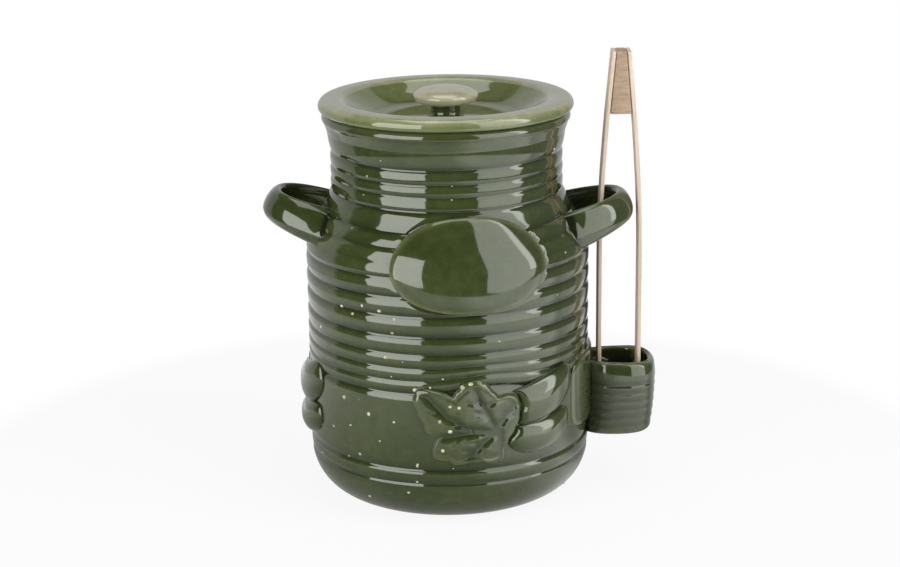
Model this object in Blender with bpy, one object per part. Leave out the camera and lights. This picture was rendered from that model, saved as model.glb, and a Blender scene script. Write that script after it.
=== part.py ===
"""Pickle crock: ribbed stoneware jar with a dished lid, two strap handles, a side pocket and wooden tongs.

Metres, +Z up. The origin is the centre of the foot, on the table. The front looks along -Y, the handles
reach along X, and the pocket with the tongs is on the +X side. A place on the wall of the crock is given
by its arc, measured round the belly from the front towards +X, and its height above the table.
"""

import math

import bmesh
import bpy
from mathutils import Vector

# Fits between pieces
JOINT_GAP = 0.0003
LID_CLEARANCE = 0.0015
STRAP_CLEARANCE = 0.0026
ARM_CLEARANCE = 0.0016
ARM_SLACK = 0.0055
SPRIG_CLEARANCE = 0.0008

# Crock body, from the foot up
FOOT_RADIUS = 0.055
BELLY_RADIUS = 0.0804
NECK_RADIUS = 0.0655
MOUTH_RADIUS = 0.0699
WALL = 0.0065
FLOOR_THICKNESS = 0.008
BASE_CURVE_HEIGHT = 0.028
BASE_RING_HEIGHT = 0.026
BASE_RING_WIDTH = 0.008
BELT_HEIGHT = 0.0437
RIB_ZONE_HEIGHT = 0.0978
RIB_COUNT = 11
RIB_SWING = 0.033
NECK_ZONE_HEIGHT = 0.0335
NECK_RING_COUNT = 5
NECK_RING_GROWTH = 1.22
MOUTH_BAND_HEIGHT = 0.012
SHOULDER_HEIGHT = 0.038
SHOULDER_OVERRUN = 0.0055
FLARE_HEIGHT = 0.012
FLARE_DROP = 0.006
GROOVE_DEPTH = 0.0013
GROOVE_ROUND = 0.0026
GROOVE_MOST_SHARE = 0.3
RIM_ROUND = 0.0022
BODY_SEGMENTS = 48

# Lid and knob
LID_OVERHANG = 0.0018
LID_FLANGE = 0.006
LID_EDGE_ROUND = 0.0018
LID_RIM_WIDTH = 0.0132
LID_CROWN = 0.0008
LID_FLOOR_RADIUS = 0.0415
LID_FLOOR_DROP = 0.0109
LID_DISH_WALL = 0.005
LID_PLUG_DEPTH = 0.003
LID_SEGMENTS = 48
KNOB_RADIUS = 0.0184
KNOB_DOME = 0.005
KNOB_UNDERSIDE = 0.0072
KNOB_STEM_RADIUS = 0.0082
KNOB_STEM_HEIGHT = 0.0051
KNOB_SEGMENTS = 32

# Strap handles
STRAP_THICKNESS = 0.0088
STRAP_SPREAD = 0.0334
STRAP_BURY = 0.0095
STRAP_ROOT_HEIGHT = 0.0217
STRAP_TIP_HEIGHT = 0.0160
STRAP_RISE = 0.0140
STRAP_ABOVE_BELT = 0.0752
STRAP_SQUARENESS = 2.45
STRAP_SECTION_BLUNTNESS = 2.3
STRAP_SECTION_POINTS = 14
STRAP_LEAN = 0.30
LEFT_HANDLE_LIFT = 0.0020
RIGHT_HANDLE_LIFT = -0.0014
LEFT_HANDLE_SHORTER = 0.0013

# Tong pocket
POCKET_WALL = 0.0035
POCKET_FLOOR = 0.0045
POCKET_HEIGHT = 0.0441
POCKET_BELOW_BELT = 0.0028
POCKET_WIDTH = 0.040
POCKET_TAPER = 0.0030
POCKET_TAPER_POWER = 2.0
POCKET_SQUARENESS = 2.8
POCKET_GROOVES = 6
POCKET_GROOVE_DEPTH = 0.0005
POCKET_GROOVE_FOOT = 0.0065
POCKET_GROOVE_HEAD = 0.0130
PAD_HALF_WIDTH = 0.0445
PAD_THICKNESS = 0.0022
PAD_HEIGHT = 0.0405
PAD_ABOVE_BELT = 0.0058
PAD_EDGE_ROUND = 0.0033
PAD_END_POWER = 6
PAD_END_TAPER = 0.12
PAD_END_THINNING = 0.35

# Wooden tongs
TONG_LENGTH = 0.2165
TONG_WIDTH = 0.015
ARM_THICKNESS = 0.0023
TONG_GAP = 0.0204
WEDGE_TOP_GAP = 0.0061
WEDGE_FOOT_GAP = 0.0126
WEDGE_HEIGHT = 0.035
ARM_BOW_HEIGHT = 0.080
HINGE_BELOW_WEDGE = 0.027

# Medallion on the front
MEDALLION_HALF_WIDTH = 0.0465
MEDALLION_HALF_HEIGHT = 0.026
MEDALLION_ARC = 0.013
MEDALLION_ABOVE_BELT = 0.0713
MEDALLION_EDGE = 0.0012
MEDALLION_CROWN = 0.0030

# Leaf and gherkin sprigs on the belt
LEAF_BEFORE_TIP = 0.070992025
LEAF_ABOVE_BELT_FOOT = 0.027
LEAF_CORE = 0.0159
LEAF_EDGE = 0.0012
LEAF_CROWN = 0.0016
# Each lobe: the way it points in degrees, how far it reaches, and how wide it spreads in degrees
LEAF_LOBES = (
    (149, 0.0346, 29.0),
    (78, 0.0280, 25.0),
    (15, 0.0313, 32.0),
    (-53, 0.0283, 28.0),
    (-98, 0.0236, 19.0),
    (-133, 0.0276, 16.5),
    (188, 0.0223, 13.0),
)
GHERKIN_RISE = 0.0053
GHERKIN_ROUNDING = 0.6
GHERKIN_BLUNTNESS = 2.8
GHERKIN_BEND_RADIUS = 0.080
UPPER_GHERKIN_LENGTH = 0.052
UPPER_GHERKIN_WIDTH = 0.0240
UPPER_GHERKIN_TILT = 14.0
UPPER_GHERKIN_ABOVE_BELT_FOOT = 0.0358
LOWER_GHERKIN_LENGTH = 0.045
LOWER_GHERKIN_WIDTH = 0.0162
LOWER_GHERKIN_TILT = 8.5
LOWER_GHERKIN_TIP_BACK = 0.0035
# Each group: its name, its turn round the crock in degrees, and how much higher it was set
SPRIG_GROUPS = (("front", 0.0, 0.0), ("back", 150.0, 0.0), ("left", 242.0, -0.0035))

# Places that follow from the sizes above
BELT_BOTTOM = BASE_RING_HEIGHT + BASE_RING_WIDTH
BELT_TOP = BELT_BOTTOM + BELT_HEIGHT
NECK_BOTTOM = BELT_TOP + RIB_ZONE_HEIGHT
NECK_TOP = NECK_BOTTOM + NECK_ZONE_HEIGHT
RIM_TOP = NECK_TOP + MOUTH_BAND_HEIGHT
SHOULDER_TOP = NECK_BOTTOM + SHOULDER_OVERRUN
SHOULDER_BOTTOM = SHOULDER_TOP - SHOULDER_HEIGHT
FLARE_TOP = RIM_TOP - FLARE_DROP
FLARE_BOTTOM = FLARE_TOP - FLARE_HEIGHT
MOUTH_BORE = MOUTH_RADIUS - WALL
LID_RADIUS = MOUTH_RADIUS + LID_OVERHANG
LID_SEAT = RIM_TOP + JOINT_GAP
LID_TOP = LID_SEAT + LID_FLANGE
LID_FLOOR = LID_TOP - LID_FLOOR_DROP
STRAP_ROOT_RADIUS = NECK_RADIUS - STRAP_BURY
POCKET_BOTTOM = BELT_BOTTOM - POCKET_BELOW_BELT
POCKET_TOP = POCKET_BOTTOM + POCKET_HEIGHT
POCKET_GROOVE_PITCH = (POCKET_HEIGHT - POCKET_GROOVE_FOOT - POCKET_GROOVE_HEAD) / (POCKET_GROOVES - 1)
POCKET_BACK = BELLY_RADIUS + POCKET_WALL
PAD_ARC = math.pi / 2 * BELLY_RADIUS
GHERKIN_TIP_ARC = PAD_ARC - PAD_HALF_WIDTH - SPRIG_CLEARANCE
LEAF_ARC = GHERKIN_TIP_ARC - LEAF_BEFORE_TIP
GHERKIN_SPACING = (UPPER_GHERKIN_WIDTH + LOWER_GHERKIN_WIDTH) / 2 + SPRIG_CLEARANCE
TONGS_X = POCKET_BACK + ARM_CLEARANCE + ARM_THICKNESS + TONG_GAP / 2
POCKET_FRONT = TONGS_X + TONG_GAP / 2 + ARM_THICKNESS + ARM_SLACK
HANDLE_REACH = TONGS_X + TONG_GAP / 2 - STRAP_CLEARANCE
HANDLE_HEIGHT = BELT_TOP + STRAP_ABOVE_BELT
TONGS_BOTTOM = POCKET_BOTTOM + POCKET_FLOOR + JOINT_GAP
TONGS_TOP = TONGS_BOTTOM + TONG_LENGTH
WEDGE_BOTTOM = TONGS_TOP - WEDGE_HEIGHT
HINGE_HEIGHT = WEDGE_BOTTOM - HINGE_BELOW_WEDGE

GLAZE_GREEN = (0.075, 0.105, 0.035)
BEECH = (0.62, 0.47, 0.33)
BEECH_END = (0.50, 0.35, 0.23)


def ease(start, end, share):
    """Go from start to end along half a cosine wave as share runs from 0 to 1."""
    share = min(max(share, 0.0), 1.0)
    return start + (end - start) * 0.5 * (1.0 - math.cos(math.pi * share))


def outer_radius(height):
    """Radius of the crock at a height, measured over the crests of its ribs."""
    if height < BASE_CURVE_HEIGHT:
        drop = 1.0 - max(height, 0.0) / BASE_CURVE_HEIGHT
        return FOOT_RADIUS + (BELLY_RADIUS - FOOT_RADIUS) * math.sqrt(1.0 - drop * drop)
    if height < SHOULDER_TOP:
        return ease(BELLY_RADIUS, NECK_RADIUS, (height - SHOULDER_BOTTOM) / SHOULDER_HEIGHT)
    return ease(NECK_RADIUS, MOUTH_RADIUS, (height - FLARE_BOTTOM) / FLARE_HEIGHT)


def on_wall(arc, height, lift):
    """The point at this arc and height that stands lift proud of the crests."""
    angle = arc / BELLY_RADIUS
    radius = outer_radius(height) + lift
    return Vector((radius * math.sin(angle), -radius * math.cos(angle), height))


def groove_heights():
    """Heights of the valleys between the ribs, from the foot to the mouth band."""
    heights = [BASE_RING_HEIGHT, BELT_BOTTOM]
    for index in range(RIB_COUNT + 1):
        share = index / RIB_COUNT
        swing = RIB_SWING * math.sin(2.0 * math.pi * share)
        heights.append(BELT_TOP + RIB_ZONE_HEIGHT * (share - swing))
    ring_sum = (NECK_RING_GROWTH**NECK_RING_COUNT - 1.0) / (NECK_RING_GROWTH - 1.0)
    for index in range(NECK_RING_COUNT):
        width = NECK_ZONE_HEIGHT / ring_sum * NECK_RING_GROWTH**index
        heights.append(heights[-1] + width)
    return heights


def finish(name, colour, roughness):
    """A material for one piece."""
    material = bpy.data.materials.new(name)
    material.use_nodes = True
    shader = material.node_tree.nodes["Principled BSDF"]
    shader.inputs["Base Color"].default_value = (*colour, 1.0)
    shader.inputs["Roughness"].default_value = roughness
    shader.inputs["Metallic"].default_value = 0.0
    material.diffuse_color = (*colour, 1.0)
    return material


def add_object(name, shape, material=None, parent=None, origin=(0.0, 0.0, 0.0)):
    """Turn a bmesh whose points are in world space into an object with its origin at the given place."""
    bmesh.ops.recalc_face_normals(shape, faces=shape.faces)
    bmesh.ops.translate(shape, verts=shape.verts, vec=-Vector(origin))
    mesh = bpy.data.meshes.new(name)
    shape.to_mesh(mesh)
    shape.free()
    mesh.shade_smooth()
    mesh.set_sharp_from_angle(angle=math.radians(40.0))
    thing = bpy.data.objects.new(name, mesh)
    bpy.context.scene.collection.objects.link(thing)
    thing.location = origin
    if material:
        mesh.materials.append(material)
    if parent:
        thing.parent = parent
        thing.location = Vector(origin) - parent.location
    return thing


def add_helper(name, shape):
    """A cutter or a filler: it shapes other pieces and is not one itself."""
    helper = add_object(name, shape)
    helper.hide_render = True
    helper.display_type = "WIRE"
    return helper


def combine(thing, helper, operation):
    """Boolean modifier that stays on the piece."""
    modifier = thing.modifiers.new(f"{operation.lower()}_{helper.name}", "BOOLEAN")
    modifier.operation = operation
    modifier.solver = "EXACT"
    modifier.object = helper


def add_pivot(name, location):
    """An empty that marks where a moving body is carried."""
    pivot = bpy.data.objects.new(name, None)
    pivot.empty_display_size = 0.02
    pivot.location = location
    bpy.context.scene.collection.objects.link(pivot)
    return pivot


def loft(rings):
    """Skin a row of rings with equal numbers of points. A ring of one point closes the end in a tip."""
    shape = bmesh.new()
    rows = [[shape.verts.new(point) for point in ring] for ring in rings]
    for low, high in zip(rows, rows[1:]):
        count = max(len(low), len(high))
        for index in range(count):
            after = (index + 1) % count
            if len(low) == 1:
                shape.faces.new((low[0], high[after], high[index]))
            elif len(high) == 1:
                shape.faces.new((low[index], low[after], high[0]))
            else:
                shape.faces.new((low[index], low[after], high[after], high[index]))
    for end in (rows[0], rows[-1]):
        if len(end) > 1:
            shape.faces.new(end)
    return shape


def turned(profile, segments):
    """Turn a profile of (radius, height) points about the Z axis. Points on the axis become poles."""
    rings = []
    for radius, height in profile:
        if radius == 0.0:
            rings.append([(0.0, 0.0, height)])
            continue
        turns = [2.0 * math.pi * index / segments for index in range(segments)]
        rings.append([(radius * math.cos(turn), radius * math.sin(turn), height) for turn in turns])
    return loft(rings)


def raised_patch(outline, shares, lift_at):
    """A closed scab on the wall of the crock, JOINT_GAP proud of it inside.

    The outline is a list of (arc, height) points round its centre, the first item. Each share is a smaller
    copy of the outline, from 1 at the edge inwards, and lift_at gives the outer height there.
    """
    (centre_arc, centre_height), edge = outline[0], outline[1:]
    inner = []
    outer = []
    for share in shares:
        ring = [
            (centre_arc + (arc - centre_arc) * share, centre_height + (height - centre_height) * share)
            for arc, height in edge
        ]
        inner.append([on_wall(arc, height, JOINT_GAP) for arc, height in ring])
        outer.append([on_wall(arc, height, lift_at(share)) for arc, height in ring])
    back = [[on_wall(centre_arc, centre_height, JOINT_GAP)]]
    front = [[on_wall(centre_arc, centre_height, lift_at(0.0))]]
    return loft(back + inner[::-1] + outer + front)


def blunt_wave(angle, bluntness):
    """Cosine and sine of an angle, pushed out to the corners. A bluntness of 2 leaves a plain circle."""
    power = 2.0 / bluntness
    across = math.copysign(abs(math.cos(angle)) ** power, math.cos(angle))
    along = math.copysign(abs(math.sin(angle)) ** power, math.sin(angle))
    return across, along


def oval_outline(centre, half_length, half_width, tilt, count, bluntness=2.0, bend=0.0):
    """An oval in the wall's arc and height, with its centre first. A bend turns its ends up."""
    turn = math.radians(tilt)
    points = [centre]
    for index in range(count):
        wave = blunt_wave(2.0 * math.pi * index / count, bluntness)
        along = half_length * wave[0]
        across = half_width * wave[1] + bend * along * along
        arc = centre[0] + along * math.cos(turn) - across * math.sin(turn)
        height = centre[1] + along * math.sin(turn) + across * math.cos(turn)
        points.append((arc, height))
    return points


def shift_outline(outline, degrees, raised):
    """Carry an outline round the crock and up."""
    shift = math.radians(degrees) * BELLY_RADIUS
    return [(arc + shift, height + raised) for arc, height in outline]


def wall_cutter():
    """The crock's crests grown by the joint gap: what is luted to the wall is cut back to it."""
    rows = 44
    low = BASE_RING_HEIGHT / 2
    high = NECK_TOP
    profile = [(0.0, low)]
    for index in range(rows + 1):
        height = low + (high - low) * index / rows
        profile.append((outer_radius(height) + JOINT_GAP, height))
    profile.append((0.0, high))
    return add_helper("wall_cutter", turned(profile, BODY_SEGMENTS))


def crock_profile():
    """Outline of the crock in radius and height: up the outside, over the rim and down the inside."""
    profile = [(0.0, 0.0), (FOOT_RADIUS, 0.0)]
    for degrees in (20, 36, 50, 63, 76):
        height = BASE_CURVE_HEIGHT * (1.0 - math.cos(math.radians(degrees)))
        if height < BASE_RING_HEIGHT - GROOVE_ROUND / 2:
            profile.append((outer_radius(height), height))
    grooves = groove_heights()
    for low, high in zip(grooves, grooves[1:]):
        shoulder = min(GROOVE_ROUND, GROOVE_MOST_SHARE * (high - low))
        profile.append((outer_radius(low) - GROOVE_DEPTH, low))
        profile.append((outer_radius(low + shoulder), low + shoulder))
        profile.append((outer_radius(high - shoulder), high - shoulder))
    profile.append((outer_radius(NECK_TOP) - GROOVE_DEPTH, NECK_TOP))
    profile.append((outer_radius(NECK_TOP + GROOVE_ROUND), NECK_TOP + GROOVE_ROUND))
    profile.append((MOUTH_RADIUS, FLARE_TOP))
    profile.append((MOUTH_RADIUS, RIM_TOP - RIM_ROUND))
    profile.append((MOUTH_RADIUS - RIM_ROUND, RIM_TOP))
    profile.append((MOUTH_BORE + RIM_ROUND, RIM_TOP))
    profile.append((MOUTH_BORE, RIM_TOP - RIM_ROUND))
    inside = [FLARE_TOP, (FLARE_TOP + FLARE_BOTTOM) / 2, FLARE_BOTTOM]
    steps = 5
    inside += [SHOULDER_TOP - SHOULDER_HEIGHT * index / steps for index in range(steps + 1)]
    inside += [BASE_CURVE_HEIGHT, (BASE_CURVE_HEIGHT + FLOOR_THICKNESS) / 2]
    for height in inside:
        profile.append((outer_radius(height) - WALL, height))
    profile.append((outer_radius(FLOOR_THICKNESS) - 2.0 * WALL, FLOOR_THICKNESS))
    profile.append((0.0, FLOOR_THICKNESS))
    return profile


def make_crock():
    """The pot itself."""
    shape = turned(crock_profile(), BODY_SEGMENTS)
    add_object("crock_body", shape, finish("crock_body", GLAZE_GREEN, 0.12))


def strap_section(height):
    """Blunt oval section of a strap as (outward, inward lean, up). It leans in towards its top."""
    section = []
    for index in range(STRAP_SECTION_POINTS):
        out, up = blunt_wave(2.0 * math.pi * index / STRAP_SECTION_POINTS, STRAP_SECTION_BLUNTNESS)
        rise = height / 2 * up
        section.append((STRAP_THICKNESS / 2 * out, STRAP_LEAN * rise, rise))
    return section


def make_handle(name, side, reach, lift, cutter):
    """A strap bent to a loop, flat sides out, with both ends cut to the shoulder of the crock."""
    furthest = max(out - lean for out, lean, _ in strap_section(STRAP_TIP_HEIGHT))
    depth = reach - furthest - STRAP_ROOT_RADIUS
    spread = STRAP_SPREAD - STRAP_THICKNESS / 2
    stations = 24
    angles = [math.pi * (index / stations - 0.5) for index in range(stations + 1)]
    waves = [blunt_wave(angle, STRAP_SQUARENESS) for angle in angles]
    path = [Vector((STRAP_ROOT_RADIUS + depth * out, spread * along, 0.0)) for out, along in waves]
    rings = []
    for index, (out, _) in enumerate(waves):
        run = (path[min(index + 1, stations)] - path[max(index - 1, 0)]).normalized()
        outward = Vector((run.y, -run.x, 0.0))
        height = STRAP_ROOT_HEIGHT + (STRAP_TIP_HEIGHT - STRAP_ROOT_HEIGHT) * out
        level = Vector((0.0, 0.0, HANDLE_HEIGHT + lift + STRAP_RISE * out))
        ring = []
        for out_by, lean, up in strap_section(height):
            corner = path[index] + level + outward * out_by + Vector((-lean, 0.0, up))
            ring.append(Vector((side * corner.x, corner.y, corner.z)))
        rings.append(ring)
    handle = add_object(name, loft(rings), finish(name, GLAZE_GREEN, 0.12))
    combine(handle, cutter, "DIFFERENCE")


def pocket_ring(back, front, width, height, count=28):
    """Plan outline of the pocket: a rectangle with very round corners."""
    middle = (back + front) / 2
    ring = []
    for index in range(count):
        across, along = blunt_wave(2.0 * math.pi * index / count, POCKET_SQUARENESS)
        ring.append((middle + (front - middle) * across, width / 2 * along, height))
    return ring


def pocket_size_at(height, cut_back=0.0):
    """Outer front and width of the pocket at a height. It tapers to the foot, and a groove cuts it back."""
    below_rim = (POCKET_TOP - height) / POCKET_HEIGHT
    inset = POCKET_TAPER * below_rim**POCKET_TAPER_POWER + cut_back
    return POCKET_FRONT + POCKET_WALL - inset, POCKET_WIDTH - 2.0 * inset


def make_pocket(cutter):
    """The tong pocket: a small ribbed cup on a pad that follows the wall."""
    round_off = POCKET_WALL / 2
    levels = [(POCKET_BOTTOM + round_off, 0.0)]
    for index in range(POCKET_GROOVES):
        valley = POCKET_BOTTOM + POCKET_GROOVE_FOOT + POCKET_GROOVE_PITCH * index
        levels.append((valley - POCKET_GROOVE_PITCH / 2, 0.0))
        levels.append((valley, POCKET_GROOVE_DEPTH))
    levels.append((valley + POCKET_GROOVE_PITCH / 2, 0.0))
    levels.append((POCKET_TOP - round_off, 0.0))
    inside = BELLY_RADIUS - POCKET_WALL
    front, width = pocket_size_at(POCKET_BOTTOM)
    rings = [pocket_ring(inside, front - POCKET_WALL, width - 2.0 * POCKET_WALL, POCKET_BOTTOM)]
    for height, cut_back in levels:
        front, width = pocket_size_at(height, cut_back)
        rings.append(pocket_ring(inside, front, width, height))
    front, width = pocket_size_at(POCKET_TOP)
    rings.append(pocket_ring(inside, front - round_off, width - 2.0 * round_off, POCKET_TOP))
    pocket = add_object("tong_pocket", loft(rings), finish("tong_pocket", GLAZE_GREEN, 0.12))

    pad_middle = BELT_TOP + PAD_ABOVE_BELT - PAD_HEIGHT / 2
    columns = 12
    rings = []
    for index in range(columns + 1):
        share = 2.0 * index / columns - 1.0
        near_end = abs(share) ** PAD_END_POWER
        half_height = PAD_HEIGHT / 2 * (1.0 - PAD_END_TAPER * near_end)
        thickness = PAD_THICKNESS * (1.0 - PAD_END_THINNING * near_end)
        arc = PAD_ARC + PAD_HALF_WIDTH * share
        shoulder = half_height - PAD_EDGE_ROUND
        section = (
            (-half_height, -POCKET_WALL),
            (-half_height, thickness / 2),
            (-shoulder, thickness),
            (shoulder, thickness),
            (half_height, thickness / 2),
            (half_height, -POCKET_WALL),
        )
        rings.append([on_wall(arc, pad_middle + up, lift) for up, lift in section])
    combine(pocket, add_helper("pocket_pad", loft(rings)), "UNION")

    hollow_floor = POCKET_BOTTOM + POCKET_FLOOR
    hollow_width = POCKET_WIDTH - 2.0 * POCKET_WALL
    floor_front = POCKET_FRONT - POCKET_TAPER
    floor_width = hollow_width - 2.0 * POCKET_TAPER
    above = POCKET_TOP + POCKET_WALL
    rings = [
        pocket_ring(POCKET_BACK, floor_front, floor_width, hollow_floor),
        pocket_ring(POCKET_BACK, POCKET_FRONT, hollow_width, POCKET_TOP),
        pocket_ring(POCKET_BACK, POCKET_FRONT, hollow_width, above),
    ]
    combine(pocket, add_helper("pocket_hollow", loft(rings)), "DIFFERENCE")
    combine(pocket, cutter, "DIFFERENCE")


def make_medallion():
    """Blank oval shield on the front, over the shoulder."""
    centre = (MEDALLION_ARC, BELT_TOP + MEDALLION_ABOVE_BELT)
    outline = oval_outline(centre, MEDALLION_HALF_WIDTH, MEDALLION_HALF_HEIGHT, 0.0, 30)

    def lift_at(share):
        return MEDALLION_EDGE + MEDALLION_CROWN * math.sqrt(1.0 - share**4)

    shape = raised_patch(outline, (1.0, 0.86, 0.70, 0.53, 0.35, 0.17), lift_at)
    add_object("front_medallion", shape, finish("front_medallion", GLAZE_GREEN, 0.08))


def leaf_reach(degrees):
    """Distance from the middle of the leaf to its edge: a round core that grows a lobe towards each tip."""
    reach = LEAF_CORE
    for direction, length, spread in LEAF_LOBES:
        off = (degrees - direction + 180.0) % 360.0 - 180.0
        reach += (length - LEAF_CORE) * math.exp(-((off / spread) ** 2))
    return reach


def leaf_outline(grow=0.0):
    """The lobed leaf in arc and height, its middle first. It can be grown all round."""
    middle = (LEAF_ARC, BELT_BOTTOM + LEAF_ABOVE_BELT_FOOT)
    count = 36
    points = [middle]
    for index in range(count):
        degrees = 360.0 * index / count
        reach = leaf_reach(degrees) + grow
        turn = math.radians(degrees)
        points.append((middle[0] + reach * math.cos(turn), middle[1] + reach * math.sin(turn)))
    return points


def make_leaf(group, degrees, raised):
    """One leaf sprig."""

    def lift_at(share):
        return LEAF_EDGE + LEAF_CROWN * (1.0 - share * share)

    outline = shift_outline(leaf_outline(), degrees, raised)
    shape = raised_patch(outline, (1.0, 0.76, 0.52, 0.26), lift_at)
    name = f"{group}_leaf"
    add_object(name, shape, finish(name, GLAZE_GREEN, 0.12))


def make_gherkin(name, oval, leaf_cutter):
    """One gherkin sprig: a blunt pod lying on the belt, cut back to the leaf over it."""

    def lift_at(share):
        return 2.0 * JOINT_GAP + GHERKIN_RISE * (1.0 - share * share) ** GHERKIN_ROUNDING

    shape = raised_patch(oval, (1.0, 0.94, 0.78, 0.54, 0.27), lift_at)
    gherkin = add_object(name, shape, finish(name, GLAZE_GREEN, 0.12))
    combine(gherkin, leaf_cutter, "DIFFERENCE")


def gherkin_outline(tip_arc, height, length, width, tilt):
    """A blunt pod, its tip at tip_arc and its middle at the height, with its ends bent up a little."""
    centre = (tip_arc - length / 2, height)
    bend = 0.5 / GHERKIN_BEND_RADIUS
    return oval_outline(centre, length / 2, width / 2, tilt, 24, GHERKIN_BLUNTNESS, bend)


def make_sprigs():
    """Leaf with two gherkins tucked under it, once for each group round the belt."""
    upper_height = BELT_BOTTOM + UPPER_GHERKIN_ABOVE_BELT_FOOT
    lower_height = upper_height - GHERKIN_SPACING
    lower_tip = GHERKIN_TIP_ARC - LOWER_GHERKIN_TIP_BACK
    upper = gherkin_outline(
        GHERKIN_TIP_ARC, upper_height, UPPER_GHERKIN_LENGTH, UPPER_GHERKIN_WIDTH, UPPER_GHERKIN_TILT
    )
    lower = gherkin_outline(
        lower_tip, lower_height, LOWER_GHERKIN_LENGTH, LOWER_GHERKIN_WIDTH, LOWER_GHERKIN_TILT
    )
    for group, degrees, raised in SPRIG_GROUPS:
        make_leaf(group, degrees, raised)
        clearance = shift_outline(leaf_outline(grow=JOINT_GAP), degrees, raised)
        edge, middle = clearance[1:], clearance[0]
        inner = [on_wall(arc, height, -GHERKIN_RISE) for arc, height in edge]
        outer = [on_wall(arc, height, 2.0 * GHERKIN_RISE) for arc, height in edge]
        back = [on_wall(middle[0], middle[1], -GHERKIN_RISE)]
        front = [on_wall(middle[0], middle[1], 2.0 * GHERKIN_RISE)]
        cutter = add_helper(f"{group}_leaf_cutter", loft([back, inner, outer, front]))
        make_gherkin(f"{group}_upper_gherkin", shift_outline(upper, degrees, raised), cutter)
        make_gherkin(f"{group}_lower_gherkin", shift_outline(lower, degrees, raised), cutter)


def make_lid():
    """Dished lid with its plug in the mouth, and the knob that stands on its floor."""
    pivot = add_pivot("lid_lift", (0.0, 0.0, LID_SEAT))
    rim_inner = LID_RADIUS - LID_RIM_WIDTH
    plug = MOUTH_BORE - LID_CLEARANCE
    dish_slope = (LID_TOP + LID_CROWN - LID_FLOOR) / (rim_inner - LID_FLOOR_RADIUS)
    under_floor = LID_FLOOR - LID_DISH_WALL
    plug_foot = LID_SEAT - LID_PLUG_DEPTH
    cone_top = LID_FLOOR_RADIUS + LID_DISH_WALL + (plug_foot - under_floor) / dish_slope
    cone_top = min(cone_top, plug - LID_EDGE_ROUND)
    profile = [
        (0.0, under_floor),
        (LID_FLOOR_RADIUS + LID_DISH_WALL / 2, under_floor),
        (cone_top, plug_foot),
        (plug - LID_EDGE_ROUND / 2, plug_foot),
        (plug, plug_foot + LID_EDGE_ROUND / 2),
        (plug, LID_SEAT),
        (LID_RADIUS - LID_EDGE_ROUND, LID_SEAT),
        (LID_RADIUS, LID_SEAT + LID_EDGE_ROUND),
        (LID_RADIUS, LID_TOP - LID_EDGE_ROUND),
        (LID_RADIUS - LID_EDGE_ROUND, LID_TOP),
        (rim_inner + LID_EDGE_ROUND, LID_TOP + LID_CROWN),
        (rim_inner, LID_TOP + LID_CROWN / 2),
        ((rim_inner + LID_FLOOR_RADIUS) / 2, (LID_TOP + LID_FLOOR) / 2 - LID_CROWN),
        (LID_FLOOR_RADIUS, LID_FLOOR + LID_CROWN / 2),
        (LID_FLOOR_RADIUS - LID_EDGE_ROUND, LID_FLOOR),
        (0.0, LID_FLOOR),
    ]
    shape = turned(profile, LID_SEGMENTS)
    add_object("lid", shape, finish("lid", GLAZE_GREEN, 0.12), pivot, pivot.location)

    foot = LID_FLOOR + JOINT_GAP
    waist = foot + KNOB_STEM_HEIGHT
    widest = waist + KNOB_UNDERSIDE
    profile = [
        (0.0, foot),
        (KNOB_STEM_RADIUS + LID_EDGE_ROUND, foot),
        (KNOB_STEM_RADIUS, foot + KNOB_STEM_HEIGHT / 2),
        (KNOB_STEM_RADIUS, waist),
    ]
    for share in (0.45, 0.8, 1.0):
        radius = KNOB_STEM_RADIUS + (KNOB_RADIUS - KNOB_STEM_RADIUS) * share
        profile.append((radius, waist + KNOB_UNDERSIDE * share**1.5))
    for degrees in (22, 42, 62, 78):
        angle = math.radians(degrees)
        profile.append((KNOB_RADIUS * math.cos(angle), widest + KNOB_DOME * math.sin(angle)))
    profile.append((0.0, widest + KNOB_DOME))
    shape = turned(profile, KNOB_SEGMENTS)
    add_object("lid_knob", shape, finish("lid_knob", GLAZE_GREEN, 0.12), pivot, pivot.location)


def arm_gap_at(height):
    """Half the gap between the arms: it widens evenly along the wedge and then bows out to the tips."""
    below = TONGS_TOP - height
    if below <= WEDGE_HEIGHT:
        return (WEDGE_TOP_GAP + (WEDGE_FOOT_GAP - WEDGE_TOP_GAP) * below / WEDGE_HEIGHT) / 2
    share = min((below - WEDGE_HEIGHT) / ARM_BOW_HEIGHT, 1.0)
    return (WEDGE_FOOT_GAP + (TONG_GAP - WEDGE_FOOT_GAP) * math.sin(math.pi / 2 * share)) / 2


def tong_strip(heights, inner_face, outer_face):
    """A strip between two faces, each a function of height, TONG_WIDTH wide along Y."""
    half = TONG_WIDTH / 2
    rings = []
    for height in heights:
        near = TONGS_X + inner_face(height)
        far = TONGS_X + outer_face(height)
        plan = ((near, -half), (far, -half), (far, half), (near, half))
        rings.append([(out, across, height) for out, across in plan])
    return loft(rings)


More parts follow.
